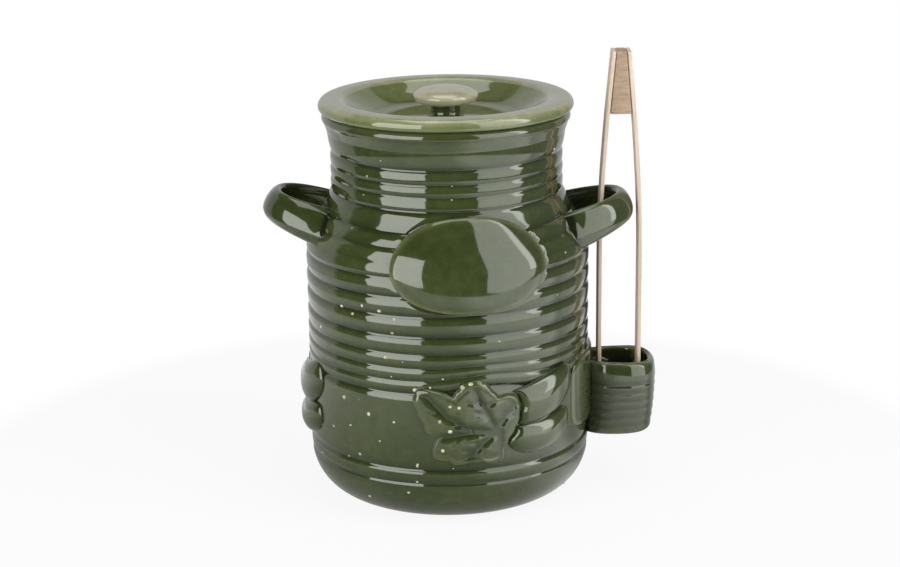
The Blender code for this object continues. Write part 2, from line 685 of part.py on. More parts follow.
def make_tongs():
    """Two beech arms on a wedge. Each arm is cut a little below the wedge, at the middle of its bending."""
    pivot = add_pivot("tongs_lift", (TONGS_X, 0.0, TONGS_BOTTOM))

    def wedge_face(height):
        return arm_gap_at(height) - JOINT_GAP

    wedge = tong_strip((WEDGE_BOTTOM, TONGS_TOP), lambda height: -wedge_face(height), wedge_face)
    add_object("tong_spacer", wedge, finish("tong_spacer", BEECH_END, 0.6), pivot, pivot.location)

    steps = 8
    bow_foot = WEDGE_BOTTOM - ARM_BOW_HEIGHT
    bow = [bow_foot + ARM_BOW_HEIGHT * index / steps for index in range(steps + 1)]
    below_cut = [TONGS_BOTTOM] + [height for height in bow if height < HINGE_HEIGHT - JOINT_GAP]
    above_cut = [height for height in bow if height > HINGE_HEIGHT] + [TONGS_TOP]
    for name, side in (("inner", -1.0), ("outer", 1.0)):

        def near(height, side=side):
            return side * arm_gap_at(height)

        def far(height, side=side):
            return side * (arm_gap_at(height) + ARM_THICKNESS)

        hinge = (TONGS_X + near(HINGE_HEIGHT) + side * ARM_THICKNESS / 2, 0.0, HINGE_HEIGHT)
        head = tong_strip([HINGE_HEIGHT] + above_cut, near, far)
        arm = tong_strip(below_cut + [HINGE_HEIGHT - JOINT_GAP], near, far)
        add_object(f"tong_head_{name}", head, finish(f"tong_head_{name}", BEECH, 0.55), pivot, hinge)
        add_object(f"tong_arm_{name}", arm, finish(f"tong_arm_{name}", BEECH, 0.55), pivot, hinge)


def main():
    for thing in list(bpy.data.objects):
        bpy.data.objects.remove(thing)
    cutter = wall_cutter()
    make_crock()
    make_handle("handle_left", -1.0, HANDLE_REACH - LEFT_HANDLE_SHORTER, LEFT_HANDLE_LIFT, cutter)
    make_handle("handle_right", 1.0, HANDLE_REACH, RIGHT_HANDLE_LIFT, cutter)
    make_pocket(cutter)
    make_medallion()
    make_sprigs()
    make_lid()
    make_tongs()


main()
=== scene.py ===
from math import pi, radians, tan

import bpy
import numpy as np
from mathutils import Matrix, Vector


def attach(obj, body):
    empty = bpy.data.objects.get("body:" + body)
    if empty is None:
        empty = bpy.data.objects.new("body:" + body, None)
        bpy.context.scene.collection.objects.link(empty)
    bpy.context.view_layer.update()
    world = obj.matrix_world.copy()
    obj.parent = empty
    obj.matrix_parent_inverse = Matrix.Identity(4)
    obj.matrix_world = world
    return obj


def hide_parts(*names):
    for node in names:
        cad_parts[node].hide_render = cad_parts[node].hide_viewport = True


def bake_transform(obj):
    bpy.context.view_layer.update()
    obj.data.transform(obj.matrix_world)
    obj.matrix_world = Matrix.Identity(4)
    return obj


# Dressed model of a green glazed pickle crock: metres, +Z up, the front looks along -Y.
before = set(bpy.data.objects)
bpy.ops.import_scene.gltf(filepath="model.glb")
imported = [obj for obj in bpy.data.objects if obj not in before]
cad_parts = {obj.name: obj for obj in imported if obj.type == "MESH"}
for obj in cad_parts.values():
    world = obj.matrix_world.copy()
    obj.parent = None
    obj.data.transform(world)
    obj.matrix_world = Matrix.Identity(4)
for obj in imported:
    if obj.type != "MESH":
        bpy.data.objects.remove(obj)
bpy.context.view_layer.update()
scene = bpy.context.scene
print("frame loaded, nodes:", len(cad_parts))


# camera, as the photo was taken: a long lens, a little above the lid
view = dict(distance=1.1779, height=0.4518, down=15.8, roll=-0.73, sensor=36.0, lens=85.308, shift=2 / 900)


def makeCamera():
    data = bpy.data.cameras.new("camera")
    data.sensor_width = view["sensor"]
    data.lens = view["lens"]
    data.shift_x = view["shift"]
    camera = bpy.data.objects.new("camera", data)
    scene.collection.objects.link(camera)
    place = Matrix.Translation((0, -view["distance"], view["height"]))
    tilt = Matrix.Rotation(radians(90 - view["down"]), 4, "X")
    camera.matrix_world = place @ tilt @ Matrix.Rotation(radians(view["roll"]), 4, "Z")
    scene.camera = camera


makeCamera()


# node trees: a socket takes a plain value, or a wire from another node's output
def feed(tree, socket, value):
    if isinstance(value, bpy.types.NodeSocket):
        tree.links.new(value, socket)
    else:
        socket.default_value = value


def setInputs(tree, node, values):
    for key, value in values.items():
        feed(tree, node.inputs[key], value)


def addNode(tree, kind, settings=None, **inputs):
    made = tree.nodes.new("ShaderNode" + kind)
    for key, value in (settings or {}).items():
        setattr(made, key, value)
    setInputs(tree, made, inputs)
    return made


def newMaterial(name):
    material = bpy.data.materials.new(name)
    material.use_nodes = True
    return material, material.node_tree, material.node_tree.nodes["Principled BSDF"]


def calc(tree, operation, first, second, kind="Math"):
    made = addNode(tree, kind, {"operation": operation})
    feed(tree, made.inputs[0], first)
    feed(tree, made.inputs[1], second)
    return made.outputs[0]


def noise(tree, place, scale, detail, output="Fac", roughness=0.5):
    made = addNode(tree, "TexNoise", Vector=place, Scale=scale, Detail=detail, Roughness=roughness)
    return made.outputs[output]


# a value carried from one range to another, and held at the ends of the second
def mapRange(tree, value, fromEnds, toEnds=(0.0, 1.0), kind="LINEAR"):
    ends = {"From Min": fromEnds[0], "From Max": fromEnds[1], "To Min": toEnds[0], "To Max": toEnds[1]}
    return addNode(tree, "MapRange", {"interpolation_type": kind}, Value=value, **ends).outputs["Result"]


def mixShaders(tree, share, first, second):
    made = addNode(tree, "MixShader", Fac=share)
    feed(tree, made.inputs[1], first)
    feed(tree, made.inputs[2], second)
    return made.outputs[0]


def ramp(tree, factor, stops):
    made = tree.nodes.new("ShaderNodeValToRGB")
    tree.links.new(factor, made.inputs["Fac"])
    elements = made.color_ramp.elements
    while len(elements) < len(stops):
        elements.new(0.5)
    for element, (place, colour) in zip(elements, stops):
        element.position = place
        element.color = (*colour, 1)
    return made.outputs["Color"]


# glaze: dark and pooled in the grooves, thin and pale on crests and rims, glass-clear on top
glaze = dict(
    patchScale=24, mottleScale=170, speckScale=1500, drift=0.30, cloud=0.26, grain=0.16, roughness=0.07,
    roughSpread=0.05, coatRoughness=0.02, index=1.5, ripple=0.14, patchDepth=0.0006, mottleDepth=0.00008,
    sheen=(0.94, 1.0, 0.87, 1.0),
)
glazeColours = dict(
    pot=((0.0, (0.010, 0.014, 0.004)), (0.45, (0.038, 0.052, 0.014)),
         (0.8, (0.090, 0.106, 0.040)), (1.0, (0.23, 0.22, 0.13))),
    # the lid's stops are the same glaze painted paler all over: painted light, for a lid whose top faces the
    # overhead light and the pale sweep
    lid=((0.0, (0.034, 0.040, 0.010)), (0.45, (0.125, 0.152, 0.050)),
         (0.8, (0.260, 0.274, 0.140)), (1.0, (0.46, 0.45, 0.30))),
)


# its colour goes by the film painted on each mesh, shifted a little by three sizes of noise
def makeGlaze(name, stops):
    g = glaze
    material, tree, shader = newMaterial(name)
    place = addNode(tree, "TexCoord").outputs["Object"]
    patches = noise(tree, place, g["patchScale"], 2.0)
    mottle = noise(tree, place, g["mottleScale"], 3.0)
    specks = noise(tree, place, g["speckScale"], 1.0)
    level = addNode(tree, "Attribute", {"attribute_name": "film"}).outputs["Fac"]
    for clouds, swing in ((patches, g["drift"]), (mottle, g["cloud"]), (specks, g["grain"])):
        level = calc(tree, "ADD", level, calc(tree, "MULTIPLY", calc(tree, "SUBTRACT", clouds, 0.5), swing))
    rough = calc(tree, "ADD", calc(tree, "MULTIPLY", mottle, g["roughSpread"]), g["roughness"])
    waves = addNode(tree, "Bump", Strength=g["ripple"], Distance=g["patchDepth"], Height=patches)
    skin = addNode(tree, "Bump", Strength=g["ripple"], Distance=g["mottleDepth"], Height=mottle)
    feed(tree, skin.inputs["Normal"], waves.outputs["Normal"])
    setInputs(tree, shader, {
        "Base Color": ramp(tree, level, stops), "Roughness": rough, "Normal": skin.outputs["Normal"],
        "Coat Normal": skin.outputs["Normal"], "Coat Weight": 1.0, "Coat Roughness": g["coatRoughness"],
        "IOR": g["index"], "Coat IOR": g["index"], "Specular Tint": g["sheen"],
    })
    return material


# bare clay under the foot, and pale glaze on the flecks
clay = dict(
    scale=700.0, bump=0.4, depth=0.0002, roughness=0.85,
    stops=((0.3, (0.30, 0.23, 0.16)), (0.7, (0.46, 0.37, 0.27))),
)
fleckLook = dict(scale=400.0, stops=((0.35, (0.38, 0.36, 0.20)), (0.65, (0.70, 0.67, 0.46))), roughness=0.15)


def makeBareClay():
    material, tree, shader = newMaterial("bare clay")
    grit = noise(tree, addNode(tree, "TexCoord").outputs["Object"], clay["scale"], 4.0)
    bump = addNode(tree, "Bump", Strength=clay["bump"], Distance=clay["depth"], Height=grit).outputs["Normal"]
    colour = ramp(tree, grit, clay["stops"])
    setInputs(tree, shader, {"Base Color": colour, "Normal": bump, "Roughness": clay["roughness"]})
    return material


def makeFleckGlaze():
    material, tree, shader = newMaterial("pale flecks")
    patchy = noise(tree, addNode(tree, "TexCoord").outputs["Object"], fleckLook["scale"], 1.0)
    colour = ramp(tree, patchy, fleckLook["stops"])
    setInputs(tree, shader, {"Base Color": colour, "Roughness": fleckLook["roughness"], "Coat Weight": 1.0})
    return material


# beech: straight fine grain along the arms, wavy cross grain on the wedge
wood = dict(
    swayScale=40.0, poreScale=5.0, poreShare=0.25, dark=0.38, pale=0.6, bump=0.25, depth=0.0001,
    roughness=0.55,
)
beech = dict(
    arm=dict(pale=(0.80, 0.68, 0.55), dark=(0.66, 0.52, 0.39), stretch=(900.0, 300.0, 14.0), bend=0.0006),
    wedge=dict(pale=(0.50, 0.37, 0.26), dark=(0.36, 0.245, 0.16), stretch=(110.0, 110.0, 900.0), bend=0.0035),
)


def makeWood(kind):
    w, look = wood, beech[kind]
    material, tree, shader = newMaterial("beech " + kind)
    place = addNode(tree, "TexCoord").outputs["Object"]
    sway = noise(tree, place, w["swayScale"], 2.0, "Color")
    sway = calc(tree, "MULTIPLY", sway, (look["bend"],) * 3, "VectorMath")
    swayed = calc(tree, "ADD", place, sway, "VectorMath")
    along = addNode(tree, "Mapping", Vector=swayed, Scale=look["stretch"]).outputs["Vector"]
    grain = calc(tree, "MULTIPLY", noise(tree, along, 1.0, 4.0, roughness=0.6), 1 - w["poreShare"])
    pores = calc(tree, "MULTIPLY", noise(tree, along, w["poreScale"], 2.0), w["poreShare"])
    level = calc(tree, "ADD", grain, pores)
    bump = addNode(tree, "Bump", Strength=w["bump"], Distance=w["depth"], Height=level).outputs["Normal"]
    colour = ramp(tree, level, ((w["dark"], look["dark"]), (w["pale"], look["pale"])))
    setInputs(tree, shader, {"Base Color": colour, "Normal": bump, "Roughness": w["roughness"]})
    return material


potGlaze = makeGlaze("green glaze", glazeColours["pot"])
# painted light: the lid and knob get the green glaze as a paler copy
lidGlaze = makeGlaze("lid glaze painted paler", glazeColours["lid"])
bareClay = makeBareClay()
fleckGlaze = makeFleckGlaze()
armWood = makeWood("arm")
wedgeWood = makeWood("wedge")
print("materials ready")


# surfaces: points on a grid, rows up and columns round, joined to quads and closed by a fan at each end
def closedFaces(rows, cols):
    low, left = np.meshgrid(np.arange(rows - 1) * cols, np.arange(cols), indexing="ij")
    right = (left + 1) % cols
    quads = np.stack([low + left, low + right, low + cols + right, low + cols + left], -1).reshape(-1, 4)
    left, right, top = left[0], right[0], (rows - 1) * cols
    start, end = np.full(cols, rows * cols), np.full(cols, rows * cols + 1)
    fans = [np.stack([start, right, left], -1), np.stack([end, top + left, top + right], -1)]
    return quads, np.concatenate(fans)


# faces turned to look out: the volume inside is a sum over the triangles of what each spans with the
# origin, and where it is below zero they are inside out
def outwardFaces(points, rows, cols):
    quads, fans = closedFaces(rows, cols)
    corners = points[np.concatenate([quads[:, :3], quads[:, [0, 2, 3]], fans])]
    volume = np.einsum("ij,ij->i", corners[:, 0], np.cross(corners[:, 1], corners[:, 2])).sum()
    return (quads[:, ::-1], fans[:, ::-1]) if volume < 0 else (quads, fans)


def addMesh(name, points, faces, material):
    mesh = bpy.data.meshes.new(name)
    mesh.from_pydata(points.tolist(), [], faces)
    mesh.shade_smooth()
    mesh.materials.append(material)
    piece = bpy.data.objects.new(name, mesh)
    scene.collection.objects.link(piece)
    return piece


def makePiece(name, grid, material, body, nodes=(), film=None, sharp=None, blendTo=None):
    rows, cols = grid.shape[:2]
    points = np.concatenate([grid.reshape(-1, 3), grid[:1].mean(1), grid[-1:].mean(1)])
    quads, fans = outwardFaces(points, rows, cols)
    piece = addMesh(name, points, quads.tolist() + fans.tolist(), material)
    if film is not None:
        film = np.broadcast_to(film, (rows, cols))
        values = np.concatenate([film.ravel(), film[:1].mean(1), film[-1:].mean(1)]).astype(np.float32)
        piece.data.attributes.new("film", "FLOAT", "POINT").data.foreach_set("value", values)
    if sharp:
        piece.data.set_sharp_from_angle(angle=radians(sharp))
    if blendTo:
        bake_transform(piece)
    else:
        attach(piece, body)
    if nodes:
        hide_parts(*nodes)
    print("made", name, "points:", len(points))
    return piece


# a drawn outline with its corners rounded: each becomes a parabola between the points one cut before and
# after it, and no cut takes more than the most share of a side
def roundOff(corners, cuts, steps=6, most=0.48):
    corners = np.array(corners, float)
    out = [corners[:1]]
    for before, here, after, cut in zip(corners, corners[1:], corners[2:], cuts):
        back, ahead = before - here, after - here
        start = here + back * min(cut / np.linalg.norm(back), most)
        end = here + ahead * min(cut / np.linalg.norm(ahead), most)
        share = np.linspace(0, 1, steps)[:, None]
        out.append((1 - share) ** 2 * start + 2 * share * (1 - share) * here + share**2 * end)
    out.append(corners[-1:])
    return np.concatenate(out)


# long stretches of an outline are cut up so that no step is over the longest one
def cutUp(outline, longest):
    out = [outline[:1]]
    for start, end in zip(outline, outline[1:]):
        count = max(int(np.ceil(np.linalg.norm(end - start) / longest)), 1)
        share = np.arange(1, count + 1)[:, None] / count
        out.append(start + (end - start) * share)
    return np.concatenate(out)


# angles once round, as a row
def roundTurn(count):
    return np.linspace(0, 2 * pi, count, endpoint=False)[None, :]


# an outline of (radius, height) turned about the Z axis
def turn(outline, cols):
    angle = roundTurn(cols)
    radius, height = outline[:, :1], outline[:, 1:]
    return np.stack([radius * np.sin(angle), -radius * np.cos(angle), height + 0 * angle], -1)


# part of an ellipse between two angles in degrees, as an outline of (radius, height)
def ellipseArc(radius, height, wide, tall, start, end, steps):
    angle = np.radians(np.linspace(start, end, steps))
    return np.stack([radius + wide * np.cos(angle), height + tall * np.sin(angle)], -1)


# half a cosine wave from start to end
def ease(start, end, share):
    return start + (end - start) * 0.5 * (1 - np.cos(pi * np.clip(share, 0, 1)))


# a bell: e to the power of minus the square of the distance in widths
def bell(distance, width):
    return np.exp(-((distance / width) ** 2))


# shares of the way from a middle to its edge, as a quarter sine wave, so that they lie closer at the edge
def sharesOut(count):
    return np.sin(np.linspace(0.02, 1, count) * pi / 2)[:, None]


# cosine and sine pushed out towards the corners: blunt 2 is a circle, more is squarer
def bluntWave(angle, blunt):
    c, s = np.cos(angle), np.sin(angle)
    return np.sign(c) * np.abs(c) ** (2 / blunt), np.sign(s) * np.abs(s) ** (2 / blunt)


# pot: sizes over the crests of the ribs; a pole is a small hole that a fan closes
pot = dict(
    footRadius=0.055, bellyRadius=0.0804, neckRadius=0.0655, mouthRadius=0.0699, wall=0.0065, floor=0.008,
    baseCurve=0.028, rimTop=0.221, lipRound=0.0042, lipTall=0.0036, lipStart=-35, boreRound=0.0015,
    shoulderBottom=0.143, shoulderTop=0.181, leanBottom=0.1990, lean=0.0026, flareBottom=0.2075,
    footRing=0.0085, footHollow=0.0012, footSoft=0.001, bareBelow=0.0014, wellStep=0.004, wellHeight=0.013,
    pole=0.002, rowStep=0.0008, cols=280, smoothBelow=0.004, fadeIn=0.010, wobble=0.00015,
    film=0.50, filmPooled=0.40, filmLip=0.30, lipBand=0.0022,
)
# ribs: each runs from one valley up to the next, with its crest a third of the way down from the upper one
ribs = dict(
    valleys=(0.0260, 0.0340, 0.0777, 0.0848, 0.0920, 0.1002, 0.1105, 0.1218, 0.1320, 0.1423, 0.1507, 0.1577,
             0.1652, 0.1765, 0.1845, 0.1912, 0.1990, 0.2095),
    belowFirst=0.008, aboveLast=0.012, softer={10: 0.45, 17: 0.12}, crest=0.34, steepness=0.090,
    widest=0.0115, full=0.010, above=0.0042, below=0.0078, blunt=2.0, bluntBelow=2.6, notch=0.0005,
    notchWidth=0.0007, swing=0.0040, swingArc=0.022, swingWide=0.024, swingHeight=0.084, swingTall=0.010,
    wander=0.0003, tremble=0.00015,
)
medallion = dict(
    arc=0.0127, height=0.149, halfWidth=0.0448, halfHeight=0.0252, blunt=2.3, edge=0.0012, crown=0.0030,
    sunk=0.0016, moat=0.0008, moatWidth=0.0012, film=0.50, filmEdge=0.35,
)
# each group on the belt: its turn round the pot in degrees and how much higher it was set
groups = dict(front=(0.0, 0.0), back=(150.0, 0.0), left=(242.0, -0.0035))
leaf = dict(
    arc=0.010, height=0.061, edge=0.0008, crown=0.0023, border=0.0005, teeth=23, toothDepth=0.0005,
    soften=2.2, veinWidth=0.0024, veinDepth=0.0008, sideShares=(0.42, 0.66), sideAngle=42.0,
    sideLength=0.0075, sideWidth=0.0012, sideDepth=0.00018, poolWidth=0.0020, poolDepth=0.0003,
    foldDepth=0.00006, foldPitch=0.0078, foldFade=0.015, foldSway=2.2, film=0.56, filmVein=0.30,
    filmSide=0.10, filmPool=0.35, filmBorder=0.16,
)
# edge of the leaf round its middle: direction in degrees and reach in millimetres, lobe by lobe
leafEdge = (
    (0, 29.3), (14, 31.4), (26, 32.0), (35, 28.0), (40, 22.8), (55, 23.6), (74, 26.2), (89, 25.0),
    (103, 21.6), (117, 18.6), (128, 24.6), (137, 31.0), (146, 35.0), (157, 32.8), (174, 25.4), (194, 23.2),
    (203, 15.6), (211, 22.8), (226, 27.5), (242, 23.6), (255, 24.4), (270, 22.2), (285, 22.8), (298, 26.7),
    (310, 29.6), (323, 25.4), (338, 25.8),
)


# where the flare meets the roll of the lip, as (radius, height)
def lipFoot():
    p = pot
    start = radians(p["lipStart"])
    radius = p["mouthRadius"] - p["lipRound"] * (1 - np.cos(start))
    return radius, p["rimTop"] - p["lipTall"] * (1 - np.sin(start))


# radius over the crests: quarter ellipse at the foot, cosine shoulder, then a neck that leans out evenly
# and flares with the square of the height
def crestRadius(height):
    p = pot
    lipRadius, lipHeight = lipFoot()
    drop = 1 - np.clip(height / p["baseCurve"], 0, 1)
    foot = p["footRadius"] + (p["bellyRadius"] - p["footRadius"]) * np.sqrt(1 - drop**2)
    shoulderShare = (height - p["shoulderBottom"]) / (p["shoulderTop"] - p["shoulderBottom"])
    shoulder = ease(p["bellyRadius"], p["neckRadius"], shoulderShare)
    leanShare = np.clip((height - p["leanBottom"]) / (lipHeight - p["leanBottom"]), 0, 1)
    flareShare = np.clip((height - p["flareBottom"]) / (lipHeight - p["flareBottom"]), 0, 1)
    leaning = p["neckRadius"] + p["lean"] * leanShare
    neck = leaning + (lipRadius - p["neckRadius"] - p["lean"]) * flareShare**2
    return np.where(height < p["baseCurve"], foot, np.where(height < p["shoulderTop"], shoulder, neck))


# a place on the wall by its arc from the front, its height, and how proud of the crests it stands
def onWall(arc, height, lift):
    angle = arc / pot["bellyRadius"]
    radius = crestRadius(height) + lift
    return np.stack([radius * np.sin(angle), -radius * np.cos(angle), height], -1)


# arc from the middle of a group, the short way round
def arcFrom(arc, degrees):
    wholeTurn = 2 * pi * pot["bellyRadius"]
    return (arc - radians(degrees) * pot["bellyRadius"] + wholeTurn / 2) % wholeTurn - wholeTurn / 2


# ribs swing up over the leaf tip and the gherkins, by a bell along the arc times one up the wall, and
# wander a little as thrown ribs do, by two sine waves
def ribBend(arc, height):
    r = ribs
    angle = arc / pot["bellyRadius"]
    bend = r["wander"] * np.sin(angle + 95 * height) + r["tremble"] * np.sin(3 * angle + 60 * height)
    over = r["swing"] * bell(height - r["swingHeight"], r["swingTall"])
    for degrees, _ in groups.values():
        bend = bend + over * bell(arcFrom(arc, degrees) - r["swingArc"], r["swingWide"])
    return bend


# depth of the wall under its crests, and how near a valley is, from 0 to 1. A valley deepens as a power of
# how near it is, and its notch is a narrow bell
def ribDrop(arc, height):
    r = ribs
    valleys = np.array(r["valleys"])
    pitch = np.diff(valleys, prepend=valleys[0] - r["belowFirst"], append=valleys[-1] + r["aboveLast"])
    strength = np.minimum((pitch[:-1] + pitch[1:]) / 2, r["widest"]) * r["steepness"]
    for index, share in r["softer"].items():
        strength[index] *= share
    bent = height - ribBend(arc, height)
    index = np.clip(np.searchsorted(valleys, bent) - 1, 0, len(valleys) - 2)
    low, high = valleys[index], valleys[index + 1]
    toHigh, toLow = np.abs(high - bent), np.abs(bent - low)
    nearHigh = np.clip(1 - toHigh / np.minimum(r["crest"] * (high - low), r["above"]), 0, 1)
    nearLow = np.clip(1 - toLow / np.minimum((1 - r["crest"]) * (high - low), r["below"]), 0, 1)
    drop = strength[index + 1] * nearHigh ** r["blunt"] + strength[index] * nearLow ** r["bluntBelow"]
    nearest = np.where(bent - low < high - bent, strength[index], strength[index + 1])
    soft = np.minimum(nearest / (r["full"] * r["steepness"]), 1)
    notch = r["notch"] * bell(np.minimum(toLow, toHigh), r["notchWidth"])
    return drop + notch * soft, np.maximum(nearHigh, nearLow) ** 2 * soft


# share of the way from the middle of the medallion to its edge, over 1 outside
def medallionShare(arc, height):
    across = np.abs(arc - medallion["arc"]) / medallion["halfWidth"]
    up = np.abs(height - medallion["height"]) / medallion["halfHeight"]
    return (across ** medallion["blunt"] + up ** medallion["blunt"]) ** (1 / medallion["blunt"])


# how far the outside stands off the crests: the ribs and a narrow moat round the medallion go in, and the
# thrown wall wobbles by a sine wave
def wallLift(arc, height):
    fromMiddle = np.hypot(arc - medallion["arc"], height - medallion["height"])
    beside = fromMiddle * np.abs(1 - 1 / np.maximum(medallionShare(arc, height), 0.2))
    moat = medallion["moat"] * bell(beside, medallion["moatWidth"])
    wobble = pot["wobble"] * np.sin(2 * arc / pot["bellyRadius"] + 1.3 + 25 * height)
    return wobble - ribDrop(arc, height)[0] - moat


def makePot():
    p = pot
    ring = p["footRadius"] - p["footRing"]
    foot = cutUp(roundOff([
        (p["pole"], p["footHollow"]), (ring - p["footSoft"], p["footHollow"]), (ring, 0.0),
        (p["footRadius"] - p["footSoft"], 0.0),
    ], (0.001, 0.0004)), 0.006)
    base = p["baseCurve"] * (1 - np.cos(np.radians(np.linspace(4, 76, 20))))
    lipHeight = lipFoot()[1]
    outside = np.concatenate([base, np.arange(base[-1] + p["rowStep"], lipHeight, p["rowStep"])])
    outerWall = np.stack([crestRadius(outside), outside], -1)
    roll, tall, soft = p["lipRound"], p["lipTall"], p["boreRound"]
    rim = np.concatenate([
        ellipseArc(p["mouthRadius"] - roll, p["rimTop"] - tall, roll, tall, p["lipStart"] + 2, 90, 22),
        ellipseArc(p["mouthRadius"] - p["wall"] + soft, p["rimTop"] - soft, soft, soft, 90, 180, 6),
    ])
    inside = np.linspace(lipHeight - 0.002, p["baseCurve"], 22)
    innerWall = np.stack([crestRadius(inside) - p["wall"], inside], -1)
    hollow = p["bellyRadius"] - p["wall"]
    well = roundOff([
        (hollow, p["baseCurve"]), (hollow - p["wellStep"], p["wellHeight"]), (p["footRadius"], p["floor"]),
        (p["pole"], p["floor"]),
    ], (0.006, 0.008))
    outline = np.concatenate([foot, outerWall, cutUp(rim, 0.001), innerWall, cutUp(well[1:], 0.012)])
    angle = roundTurn(p["cols"])
    arc = ((angle + pi) % (2 * pi) - pi) * p["bellyRadius"]
    height = outline[:, 1:] + 0 * angle
    onOutside = np.zeros((len(outline), 1))
    onOutside[len(foot):len(foot) + len(outside)] = 1
    fade = np.clip((height - p["smoothBelow"]) / p["fadeIn"], 0, 1)
    radius = outline[:, :1] + wallLift(arc, height) * onOutside * fade
    grid = np.stack([radius * np.sin(angle), -radius * np.cos(angle), height], -1)
    film = p["film"] - p["filmPooled"] * ribDrop(arc, height)[1] ** 1.5 * onOutside
    film = film + p["filmLip"] * bell(height - p["rimTop"], p["lipBand"])
    piece = makePiece("crockWall", grid, potGlaze, "crock", ["crock_body"], film)
    piece.data.materials.append(bareClay)
    centres = np.empty(len(piece.data.polygons) * 3)
    piece.data.polygons.foreach_get("center", centres)
    x, y, z = centres.reshape(-1, 3).T
    bare = (z < p["bareBelow"]) & (np.hypot(x, y) < p["footRadius"])
    piece.data.polygons.foreach_set("material_index", bare.astype(np.int32))


makePot()


# a relief on the wall: its front, then a skirt and a small back, both sunk into the wall and dark
sprig = dict(sunk=0.0018, back=0.05, film=0.1)


def makeSprig(name, nodes, arc, height, lift, film, middle, sunk=sprig["sunk"]):
    even = np.zeros((1, arc.shape[1]))
    backArc, backHeight = (at + (line[-1:] - at) * sprig["back"] for at, line in zip(middle, (arc, height)))
    skirt = onWall(arc[-1:], height[-1:], even - sunk)
    grid = np.concatenate([onWall(arc, height, lift), skirt, onWall(backArc, backHeight, even - sunk)])
    buried = even + sprig["film"]
    film = np.concatenate([film + 0 * arc, buried, buried])
    makePiece(name, grid, potGlaze, "crock", nodes, film)


# medallion: a blunt oval with a pale edge, domed as the root of one less the fifth power of the share
def makeMedallion():
    m = medallion
    share = sharesOut(46)
    out, up = bluntWave(roundTurn(200), m["blunt"])
    arc = m["arc"] + m["halfWidth"] * share * out
    height = m["height"] + m["halfHeight"] * share * up
    lift = m["edge"] + m["crown"] * np.sqrt(1 - share**5)
    film = m["film"] + m["filmEdge"] * bell(share - 0.97, 0.05)
    middle = m["arc"], m["height"]
    makeSprig("medallion", ["front_medallion"], arc, height, lift, film, middle, m["sunk"])


makeMedallion()


# distance of each point from a drawn line, the least over its straight stretches
def lineDistance(arc, height, line):
    best = np.full(np.broadcast(arc, height).shape, 1.0)
    for (a0, h0), (a1, h1) in zip(line, line[1:]):
        along = np.array([a1 - a0, h1 - h0])
        share = np.clip(((arc - a0) * along[0] + (height - h0) * along[1]) / (along @ along), 0, 1)
        best = np.minimum(best, np.hypot(arc - a0 - share * along[0], height - h0 - share * along[1]))
    return best


# leaf: its veins are grooves that leave one knot near the gherkins, in arc and height
leafKnot = (0.0251, 0.0559)
leafVeins = (
    (leafKnot, (0.0083, 0.0590), (-0.0020, 0.0662), (-0.0090, 0.0742), (-0.0144, 0.0792)),
    (leafKnot, (0.0201, 0.0668), (0.0156, 0.0747), (0.0140, 0.0800)),
    (leafKnot, (0.0105, 0.0566), (-0.0030, 0.0545)),
    (leafKnot, (0.0177, 0.0503), (0.0103, 0.0421)),
    ((0.0270, 0.0540), (0.0291, 0.0385)),
    ((0.0262, 0.0580), (0.0300, 0.0640), (0.0360, 0.0704)),
)
# pools: round dents beside the veins where the glaze lies deep
leafPools = ((0.0214, 0.0723), (0.0158, 0.0676), (0.0155, 0.0736))


# side veins: one to each hand of every vein at the given shares of its length, slanting outwards
def sideVeins(vein):
    line = np.array(vein)
    step = np.linalg.norm(np.diff(line, axis=0), axis=1)
    travelled = np.concatenate([[0], np.cumsum(step)])
    out = []
    for share in leaf["sideShares"]:
        places = share * travelled[-1] + np.array([0, 0.001])
        start, ahead = np.stack([np.interp(places, travelled, line[:, axis]) for axis in (0, 1)], -1)
        heading = np.arctan2(*(ahead - start)[::-1])
        for hand in (-1, 1):
            turned = heading + hand * radians(leaf["sideAngle"])
            out.append((start, start + leaf["sideLength"] * np.array([np.cos(turned), np.sin(turned)])))
    return out


# depth in the grooves along lines: one less the product of one less the bell of the distance from each
def grooveShare(arc, height, lines, width):
    return 1 - np.prod([1 - bell(lineDistance(arc, height, line), width) for line in lines], axis=0)


# reach of the leaf by direction: straight runs between given points, softened by a bell, with fine teeth
def leafReach(angle):
    given = np.array(leafEdge)
    every = np.arange(720) / 2
    reach = np.interp(every, given[:, 0], given[:, 1], period=360) / 1000
    spread = bell((every + 180) % 360 - 180, leaf["soften"])
    smooth = np.real(np.fft.ifft(np.fft.fft(reach) * np.fft.fft(spread / spread.sum())))
    teeth = leaf["toothDepth"] * (np.abs(np.cos(leaf["teeth"] / 2 * angle)) - 0.6)
    return np.interp(np.degrees(angle) % 360, every, smooth, period=360) + teeth


